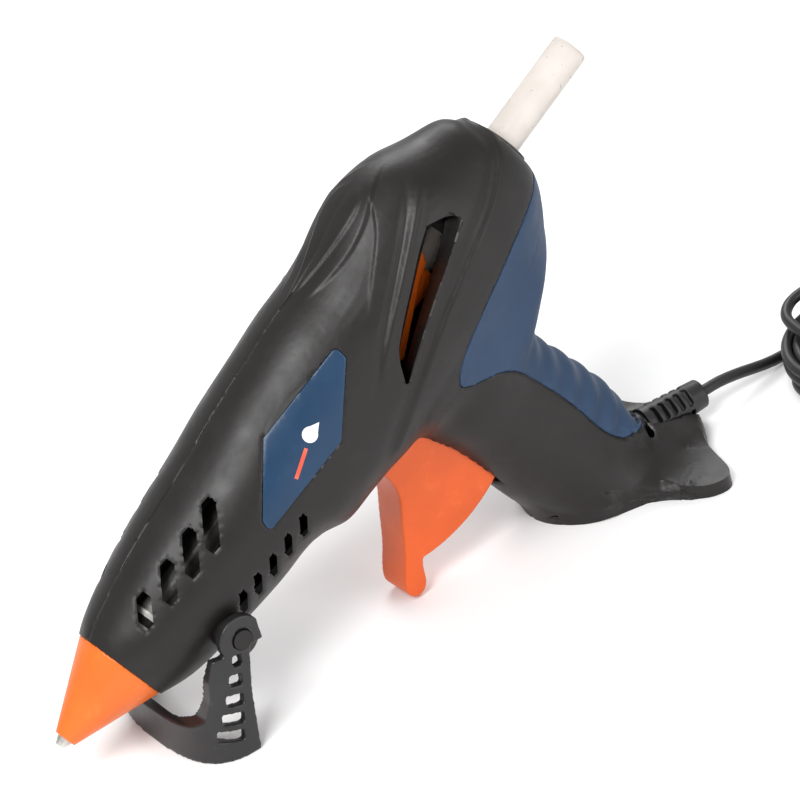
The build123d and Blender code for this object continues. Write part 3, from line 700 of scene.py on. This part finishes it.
def softened(node, body, slot, voxel, rounds):
    """A CAD part with the small round edges of a moulded piece."""
    source = nodes[node]
    shape = bpy.data.objects.new(node + "_moulded", source.data.copy())
    bpy.context.scene.collection.objects.link(shape)
    remesh = shape.modifiers.new("remesh", "REMESH")
    remesh.mode = "VOXEL"
    remesh.voxel_size = voxel * MM
    smooth = shape.modifiers.new("smooth", "SMOOTH")
    smooth.factor = SMOOTHING
    smooth.iterations = rounds
    graph = bpy.context.evaluated_depsgraph_get()
    mesh = bpy.data.meshes.new_from_object(shape.evaluated_get(graph))
    shape.modifiers.clear()
    shape.data = mesh
    mesh.shade_smooth()
    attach(shape, body)
    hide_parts(node)
    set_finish(shape, slot)
    return shape


def turned(name, profile, axis_start, axis_way, segments=64):
    """A round piece from a profile of (along, radius) in millimetres, about an axis in the row frame."""
    start, way = Vector(axis_start), Vector(axis_way).normalized()
    side = way.orthogonal().normalized()
    other = way.cross(side)
    vertices, faces = [], []
    for along, radius in profile:
        for step in range(segments):
            turn = 2 * math.pi * step / segments
            out = side * math.cos(turn) + other * math.sin(turn)
            vertices.append(start + way * along * MM + out * radius * MM)
    for ring in range(len(profile) - 1):
        for step in range(segments):
            a = ring * segments + step
            b = ring * segments + (step + 1) % segments
            faces.append((a, b, b + segments, a + segments))
    faces.append(tuple(reversed(range(segments))))
    last = (len(profile) - 1) * segments
    faces.append(tuple(range(last, last + segments)))
    mesh = bpy.data.meshes.new(name)
    mesh.from_pydata([tuple(v) for v in vertices], [], faces)
    mesh.update()
    mesh.shade_smooth()
    mesh.set_sharp_from_angle(angle=math.radians(50))
    obj = bpy.data.objects.new(name, mesh)
    bpy.context.scene.collection.objects.link(obj)
    return obj


# ---------------------------------------------------------------- cord
CORD_DIAMETER = 3.6
GLAND_Z = 8.4
CORD_RUN = [(20.0, 0.0, GLAND_Z), (35.0, 0.0, GLAND_Z), (46.0, 0.6, 8.2), (68.0, 2.6, 1.9)]
COIL_CENTRE = (88.0, -21.0)
COIL_OUTER_TURN = 27.2
TURN_PITCH = 3.7
LAYER_PITCH = 3.6
# The coil's turns in order: column from the inside, layer from the bench.
COIL_TURNS = [(3, 0), (2, 0), (1, 0), (0, 0), (0, 1), (1, 1), (2, 1), (3, 1), (3, 2), (2, 2), (1, 2), (0, 2)]
TURN_STEP = 18.0
FIRST_TURN_STEPS = 17
FULL_TURN_STEPS = 19
LAST_TURN_STEPS = 8
# From the coil's inner top turn, over the other turns, round and into the plug that lies on the coil.
CORD_TAIL = [
    (71.9, -21.0, 9.2),
    (71.9, -17.0, 10.6),
    (71.9, -12.0, 12.9),
    (72.0, -4.0, 13.6),
    (73.5, 3.5, 14.2),
    (78.0, 7.6, 15.0),
    (83.0, 8.6, 15.8),
    (88.5, 7.4, 16.6),
    (93.0, 2.5, 17.3),
    (94.0, -3.0, 17.5),
    (94.0, -9.0, 17.5),
]


def coil_points():
    """The stored cord's turns, each crossing to the next place after the place's own turn has been left."""
    points = []
    angle = 90.0
    outward = 1 / (0.75 + 0.25 * math.cos(math.radians(TURN_STEP)))
    steps = [FIRST_TURN_STEPS] + [FULL_TURN_STEPS] * (len(COIL_TURNS) - 2) + [LAST_TURN_STEPS]
    for (column, layer), count in zip(COIL_TURNS, steps):
        radius = (COIL_OUTER_TURN - TURN_PITCH * (3 - column)) * outward
        height = 1.9 + LAYER_PITCH * layer
        for _ in range(count):
            turn = math.radians(angle)
            x = COIL_CENTRE[0] + radius * math.cos(turn)
            y = COIL_CENTRE[1] + radius * math.sin(turn)
            points.append((x, y, height))
            angle -= TURN_STEP
    return points


def make_cord():
    """The whole mains cord as one line, from the gland through the coil to the plug."""
    route = CORD_RUN + coil_points() + CORD_TAIL
    curve = bpy.data.curves.new("cord", "CURVE")
    curve.dimensions = "3D"
    curve.bevel_depth = 1.0
    curve.bevel_resolution = 4
    curve.resolution_u = 5
    curve.use_fill_caps = True
    spline = curve.splines.new("NURBS")
    spline.points.add(len(route) - 1)
    for point, place in zip(spline.points, route):
        point.co = (place[0] * MM, place[1] * MM, place[2] * MM, 1.0)
        point.radius = CORD_DIAMETER / 2 * MM
    spline.order_u = 3
    spline.use_endpoint_u = True
    cord = bpy.data.objects.new("cord", curve)
    bpy.context.scene.collection.objects.link(cord)
    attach(cord, "casing")
    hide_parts("power_cord", "cord_coil", "cord_tail")
    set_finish(cord, "cord_rubber")
    return cord


# ---------------------------------------------------------------- materials
def linear(colour):
    """A screen colour out of 255 as a scene colour."""
    shares = [value / 255 for value in colour]
    made = [s / 12.92 if s <= 0.04045 else ((s + 0.055) / 1.055) ** 2.4 for s in shares]
    return (*made, 1.0)


class Finish:
    """A node material that is built up step by step."""

    def __init__(self, name):
        self.material = bpy.data.materials.new(name)
        self.material.use_nodes = True
        self.tree = self.material.node_tree
        self.shader = self.tree.nodes["Principled BSDF"]
        self.place = self.add("ShaderNodeTexCoord").outputs["Object"]

    def add(self, kind, **settings):
        """A new node with its properties set."""
        node = self.tree.nodes.new(kind)
        for key, value in settings.items():
            setattr(node, key, value)
        return node

    def join(self, source, target):
        """Link an output to an input."""
        self.tree.links.new(source, target)

    def noise(self, size, detail=3.0, roughness=0.55):
        """A noise pattern whose grains are about a size in millimetres."""
        node = self.add("ShaderNodeTexNoise")
        node.inputs["Scale"].default_value = 1000.0 / size
        node.inputs["Detail"].default_value = detail
        node.inputs["Roughness"].default_value = roughness
        self.join(self.place, node.inputs["Vector"])
        return node.outputs["Fac"]

    def spread(self, source, low, high, start=0.3, end=0.7):
        """A pattern's values laid between two limits."""
        node = self.add("ShaderNodeMapRange")
        node.inputs["From Min"].default_value = start
        node.inputs["From Max"].default_value = end
        node.inputs["To Min"].default_value = low
        node.inputs["To Max"].default_value = high
        self.join(source, node.inputs["Value"])
        return node.outputs["Result"]

    def mix(self, share, first, second):
        """Two colours mixed by a pattern."""
        node = self.add("ShaderNodeMix", data_type="RGBA")
        self.join(share, node.inputs["Factor"])
        for socket, value in ((node.inputs["A"], first), (node.inputs["B"], second)):
            if isinstance(value, tuple):
                socket.default_value = value
            else:
                self.join(value, socket)
        return node.outputs["Result"]

    def edges(self, start, end, strength):
        """Where the surface turns outward sharply, as on a rubbed edge."""
        pointed = self.add("ShaderNodeNewGeometry").outputs["Pointiness"]
        return self.spread(pointed, 0.0, strength, start, end)

    def bump(self, height, depth, strength, before=None):
        """A bump from a pattern, with its depth in millimetres."""
        node = self.add("ShaderNodeBump")
        node.inputs["Distance"].default_value = depth * MM
        node.inputs["Strength"].default_value = strength
        self.join(height, node.inputs["Height"])
        if before:
            self.join(before, node.inputs["Normal"])
        return node.outputs["Normal"]

    def set(self, **values):
        """Plain values on the shader."""
        for key, value in values.items():
            self.shader.inputs[key.replace("_", " ")].default_value = value


def moulded(name, colour, worn, roughness, grain=0.5, depth=0.03, edge=0.35, specular=0.5, mottle=0.12):
    """Moulded plastic or rubber: fine grain, cloudy colour and gloss, and paler rubbed edges."""
    finish = Finish(name)
    base, rubbed = linear(colour), linear(worn)
    darker = tuple(value * (1 - mottle) for value in base[:3]) + (1.0,)
    clouds = finish.spread(finish.noise(14.0), 0.0, 1.0)
    body = finish.mix(clouds, darker, base)
    scuffs = finish.spread(finish.noise(7.0, detail=6.0, roughness=0.7), 0.0, 0.16, 0.58, 0.75)
    body = finish.mix(scuffs, body, rubbed)
    colour_out = finish.mix(finish.edges(0.52, 0.62, edge), body, rubbed)
    finish.join(colour_out, finish.shader.inputs["Base Color"])
    gloss = finish.spread(finish.noise(9.0, detail=5.0), roughness - 0.06, roughness + 0.07)
    finish.join(gloss, finish.shader.inputs["Roughness"])
    fine = finish.bump(finish.noise(grain, detail=2.0), depth, 0.55)
    normal = finish.bump(finish.noise(22.0, detail=2.0), 0.12, 0.12, fine)
    finish.join(normal, finish.shader.inputs["Normal"])
    finish.set(Specular_IOR_Level=specular)
    return finish.material


def metal(name, colour, dark, roughness):
    """Bare metal: fine machining marks, stains and brighter edges."""
    finish = Finish(name)
    stains = finish.spread(finish.noise(6.0, detail=5.0), 0.0, 1.0, 0.4, 0.75)
    body = finish.mix(stains, linear(colour), linear(dark))
    bright = finish.mix(finish.edges(0.51, 0.57, 0.6), body, linear((235, 235, 230)))
    finish.join(bright, finish.shader.inputs["Base Color"])
    marks = finish.noise(0.8, detail=4.0)
    finish.join(finish.spread(marks, roughness - 0.08, roughness + 0.1), finish.shader.inputs["Roughness"])
    finish.join(finish.bump(marks, 0.015, 0.4), finish.shader.inputs["Normal"])
    finish.set(Metallic=1.0)
    return finish.material


def glue(name):
    """Milky, slightly clear glue with faint clouds."""
    finish = Finish(name)
    clouds = finish.spread(finish.noise(8.0, detail=4.0), 0.0, 1.0)
    body = finish.mix(clouds, linear((214, 206, 199)), linear((226, 220, 214)))
    finish.join(body, finish.shader.inputs["Base Color"])
    finish.join(finish.spread(finish.noise(3.0), 0.26, 0.42), finish.shader.inputs["Roughness"])
    finish.join(finish.bump(finish.noise(4.0, detail=1.0), 0.02, 0.15), finish.shader.inputs["Normal"])
    finish.set(Transmission_Weight=0.35, IOR=1.25, Specular_IOR_Level=0.5)
    finish.set(Subsurface_Weight=0.0)
    return finish.material


def make_materials():
    """One finish for every material slot."""
    black = (34, 32, 32)
    orange = (236, 104, 22)
    made = {
        "casing": moulded(
            "casing",
            (24, 21, 20),
            (52, 48, 46),
            0.42,
            grain=0.55,
            depth=0.035,
            edge=0.1,
            specular=0.36,
        ),
        "grip": moulded(
            "grip",
            (40, 62, 90),
            (56, 80, 108),
            0.56,
            grain=0.4,
            depth=0.022,
            edge=0.15,
            specular=0.34,
        ),
        "badge": moulded(
            "badge",
            (22, 54, 84),
            (46, 80, 110),
            0.36,
            grain=0.8,
            depth=0.01,
            edge=0.2,
            specular=0.34,
        ),
        "nozzle_orange": moulded(
            "nozzle_orange",
            (226, 104, 22),
            (246, 160, 92),
            0.4,
            grain=0.9,
            depth=0.02,
            edge=0.2,
        ),
        "trigger_orange": moulded(
            "trigger_orange",
            (222, 88, 14),
            (244, 146, 78),
            0.36,
            grain=0.9,
            depth=0.015,
            edge=0.2,
        ),
        "feed_orange": moulded("feed_orange", orange, (250, 160, 92), 0.42, grain=0.9),
        "stand_black": moulded(
            "stand_black",
            (30, 29, 30),
            (62, 60, 60),
            0.34,
            grain=0.7,
            depth=0.02,
            edge=0.2,
        ),
        "inner_black": moulded("inner_black", black, (80, 78, 78), 0.5),
        "silicone": moulded("silicone", (120, 44, 34), (150, 84, 72), 0.55),
        "heater_ceramic": moulded("heater_ceramic", (136, 128, 116), (170, 162, 150), 0.6),
        "insulating_film": moulded("insulating_film", (176, 118, 40), (214, 170, 98), 0.3),
        "terminal_white": moulded("terminal_white", (222, 220, 212), (242, 240, 236), 0.42),
        "wire_brown": moulded("wire_brown", (96, 56, 32), (130, 90, 66), 0.45),
        "wire_blue": moulded("wire_blue", (36, 80, 160), (84, 120, 186), 0.45),
        "cord_rubber": moulded("cord_rubber", (24, 23, 24), (50, 48, 49), 0.46, grain=0.35, edge=0.2),
        "tie_black": moulded("tie_black", (26, 26, 27), (60, 60, 60), 0.4),
        "plug_black": moulded("plug_black", (32, 31, 32), (72, 70, 70), 0.42, grain=0.5),
        "screw_steel": metal("screw_steel", (150, 150, 150), (96, 94, 92), 0.34),
        "nozzle_metal": metal("nozzle_metal", (206, 202, 196), (140, 132, 124), 0.36),
        "spring_steel": metal("spring_steel", (160, 160, 162), (100, 100, 102), 0.3),
        # Painted shade: the melt chamber's metal is given a dark grey colour so that it looks dark through the
        # casing's vents, where it lies in shade; the metal itself is paler.
        "chamber_metal": metal("chamber_metal", (58, 56, 54), (40, 38, 36), 0.55),
        "contact_brass": metal("contact_brass", (206, 168, 92), (140, 104, 50), 0.32),
        "pin_brass": metal("pin_brass", (208, 184, 128), (150, 120, 70), 0.26),
        "glue": glue("glue"),
        "mark_pale": moulded("mark_pale", (226, 228, 230), (246, 246, 246), 0.45, mottle=0.05),
        "mark_red": moulded("mark_red", (214, 74, 48), (232, 130, 110), 0.45),
    }
    return made


def dress(finishes, own):
    """Give every shown piece its own finish, or else the finish of its slot."""
    by_node = {entry["node"]: entry["material_slot"] for entry in frame["record"]["subparts"]}
    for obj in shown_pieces():
        slot = own.get(obj.name) or obj.get("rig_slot") or by_node.get(obj.name)
        obj.data.materials.clear()
        obj.data.materials.append(finishes[slot])
        if "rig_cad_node" in obj:
            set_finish(obj, slot)


# ---------------------------------------------------------------- studio
def area_light(name, place, aim, size, power):
    """A soft square light aimed at a point."""
    light = bpy.data.objects.new(name, bpy.data.lights.new(name, "AREA"))
    bpy.context.scene.collection.objects.link(light)
    light.data.size = size
    light.data.energy = power
    light.location = place
    light.rotation_mode = "QUATERNION"
    light.rotation_quaternion = (Vector(place) - Vector(aim)).to_track_quat("Z", "Y")
    return light


def make_studio():
    """A pale bench, an even pale surround and three soft lights."""
    mesh = bpy.data.meshes.new("bench")
    half = 6.0
    corners = [(-half, -half, 0), (half, -half, 0), (half, half, 0), (-half, half, 0)]
    mesh.from_pydata(corners, [], [(0, 1, 2, 3)])
    bench = bpy.data.objects.new("bench", mesh)
    bpy.context.scene.collection.objects.link(bench)
    bench.location.z = -0.0002
    paint = Finish("bench_paint")
    clouds = paint.spread(paint.noise(60.0), 0.0, 1.0)
    shade = paint.mix(clouds, linear((244, 244, 244)), linear((248, 248, 248)))
    paint.join(shade, paint.shader.inputs["Base Color"])
    paint.set(Roughness=0.7)
    mesh.materials.append(paint.material)

    world = bpy.data.worlds.new("surround")
    bpy.context.scene.world = world
    world.use_nodes = True
    backdrop = world.node_tree.nodes["Background"]
    backdrop.inputs["Color"].default_value = (1.0, 1.0, 1.0, 1.0)
    backdrop.inputs["Strength"].default_value = 0.62
    bpy.context.scene.view_settings.view_transform = "Standard"

    aim = (-0.09, 0.0, 0.08)
    area_light("key", (-0.9, -0.5, 1.1), aim, 0.7, 19.0)
    area_light("fill", (0.5, -1.3, 0.5), aim, 0.9, 6.0)
    area_light("rim", (0.5, 0.9, 1.0), aim, 0.6, 8.0)


# ---------------------------------------------------------------- build
STICK_START = 50.0
STICK_LENGTH = 200.0
# The stick's profile: along it from its front end, then its radius.
STICK_PROFILE = [
    (0.0, 4.6),
    (0.5, 5.4),
    (1.4, 5.6),
    (70.0, 5.56),
    (130.0, 5.6),
    (170.0, 5.57),
    (199.0, 5.6),
    (199.6, 5.5),
    (STICK_LENGTH, 5.1),
]

make_camera()
cord = make_cord()
make_skin()
casing_tree = skin_tree({name: welded(nodes[name]) for name in SKIN})
own_finishes = {}
for side, name in ((-1, "left"), (1, "right")):
    make_window_wall(side, name + "_window_wall", casing_tree)
    drop = make_mark(droplet(112.5, -5.6, 2.3, 4.4), side, name + "_mark_drop", casing_tree)
    line = make_mark(bar(104.5, -8.4, 9.0, 1.1, 18.0), side, name + "_mark_bar", casing_tree)
    own_finishes[drop.name] = "mark_pale"
    own_finishes[line.name] = "mark_red"

stick_start, stick_end = from_gun([[STICK_START, 0.0, 0.0], [STICK_START + STICK_LENGTH, 0.0, 0.0]])
stick = turned("glue_stick_cut", STICK_PROFILE, stick_start, stick_end - stick_start)
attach(stick, "stick")
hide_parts("glue_stick")
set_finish(stick, "glue")

spring = mesh_object("trigger_spring_wound", *welded(nodes["trigger_spring"]))
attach(spring, "casing")
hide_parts("trigger_spring")
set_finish(spring, "spring_steel")
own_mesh(spring)

softened("stand", "stand", "stand_black", 0.42, 3)
softened("trigger", "trigger", "trigger_orange", 0.45, 5)
softened("cable_gland", "casing", "cord_rubber", 0.3, 3)
softened("nozzle_sleeve", "casing", "nozzle_orange", 0.42, 3)
softened("feed_carriage", "carriage", "feed_orange", 0.45, 4)
softened("plug", "casing", "plug_black", 0.5, 4)
softened("coil_tie", "casing", "tie_black", 0.3, 3)
dress(make_materials(), own_finishes)
make_studio()


bpy.context.view_layer.update()
